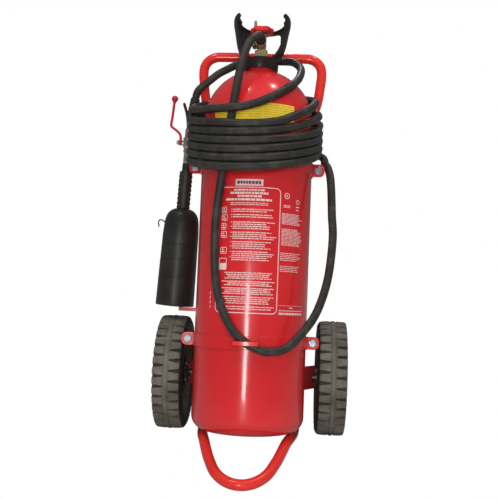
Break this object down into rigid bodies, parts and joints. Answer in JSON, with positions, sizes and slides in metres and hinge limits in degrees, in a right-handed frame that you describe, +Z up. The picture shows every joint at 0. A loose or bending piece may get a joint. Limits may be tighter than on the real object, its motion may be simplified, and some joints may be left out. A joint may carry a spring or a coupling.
{
  "type": "wheeled fire extinguisher",
  "caption": "Gas cylinder clamped in a two-wheeled tube trolley, with a valve, a coiled hose, a shut-off lever and a discharge horn.",
  "frame": {"origin": "centre of the bounding box at floor level, measured without the hose", "axes": "+Z up, -Y to the front, +X to the right seen from the front"},
  "size_m": [0.4253, 0.4555, 0.8984],
  "materials": {
    "red_paint": "gloss red paint",
    "red_plastic": "gloss red",
    "black_plastic": "satin black",
    "black_rubber": "matt black",
    "tyre_rubber": "matt dark grey",
    "brass": "dull brass",
    "zinc": "zinc plated",
    "nickel": "satin nickel plate"
  },
  "bodies": {
    "trolley": {"cylinder_shell": "red_paint", "handle_tube": "red_paint", "left_rail": "red_paint", "right_rail": "red_paint", "foot_loop": "red_paint", "hose_rest": "red_paint", "horn_rest": "red_paint", "axle_bracket_left": "red_paint", "axle_bracket_right": "red_paint", "lower_clamp_front": "red_paint", "lower_clamp_rear": "red_paint", "upper_clamp_front": "red_paint", "upper_clamp_rear": "red_paint", "hose_hook": "red_paint", "axle_cap_left": "black_plastic", "axle_cap_right": "black_plastic", "valve_guard": "black_plastic", "horn": "black_plastic", "lance_hanger": "black_plastic", "hose_front": "black_rubber", "hose_top": "black_rubber", "hose_coil": "black_rubber", "hose_ferrule_valve": "black_rubber", "hose_ferrule_lance": "black_rubber", "grip": "black_rubber", "valve_body": "brass", "bonnet_nut": "brass", "outlet_nut": "brass", "safety_vent": "brass", "axle": "zinc", "axle_spacer_left": "zinc", "axle_spacer_right": "zinc", "bolt_lower_left": "zinc", "bolt_lower_right": "zinc", "bolt_upper_left": "zinc", "bolt_upper_right": "zinc", "nut_lower_left": "zinc", "nut_lower_right": "zinc", "nut_upper_left": "zinc", "nut_upper_right": "zinc", "swivel_nut": "zinc", "dip_tube": "nickel", "hose_tail": "nickel", "ball_valve_body": "nickel", "lance_connector": "nickel"},
    "wheel_left": {"tyre_left": "tyre_rubber", "rim_left": "black_plastic", "bush_left": "zinc"},
    "wheel_right": {"tyre_right": "tyre_rubber", "rim_right": "black_plastic", "bush_right": "zinc"},
    "handwheel_body": {"handwheel": "red_plastic", "spindle": "zinc", "handwheel_nut": "zinc"},
    "plug_body": {"valve_plug": "brass"},
    "lever_body": {"valve_ball": "zinc", "valve_stem": "zinc", "lever": "red_paint", "lever_knob": "red_plastic", "lever_nut": "zinc"}
  },
  "joints": [
    {"name": "wheel_left_spin", "type": "hinge", "parent": "trolley", "child": "wheel_left", "pos_m": [-0.16885, 0.10373, 0.124], "axis": [1, 0, 0], "continuous": true},
    {"name": "wheel_right_spin", "type": "hinge", "parent": "trolley", "child": "wheel_right", "pos_m": [0.17915, 0.10373, 0.124], "axis": [1, 0, 0], "continuous": true},
    {"name": "handwheel_turn", "type": "hinge", "parent": "trolley", "child": "handwheel_body", "pos_m": [0.00515, 0.13015, 0.86458], "axis": [0, 0.2071, 0.9783], "range_deg": [0, 1440]},
    {"name": "plug_lift", "type": "slide", "parent": "trolley", "child": "plug_body", "axis": [0, 0.2071, 0.9783], "range_m": [0, 0.006]},
    {"name": "ball_lever_turn", "type": "hinge", "parent": "trolley", "child": "lever_body", "pos_m": [-0.15165, 0.16092, 0.62604], "axis": [0.9986, -0.0072, -0.0522], "range_deg": [0, 90]}
  ],
  "couplings": [
    {"joint": "plug_lift", "follows": "handwheel_turn", "m_per_rad": 0.000238}
  ]
}
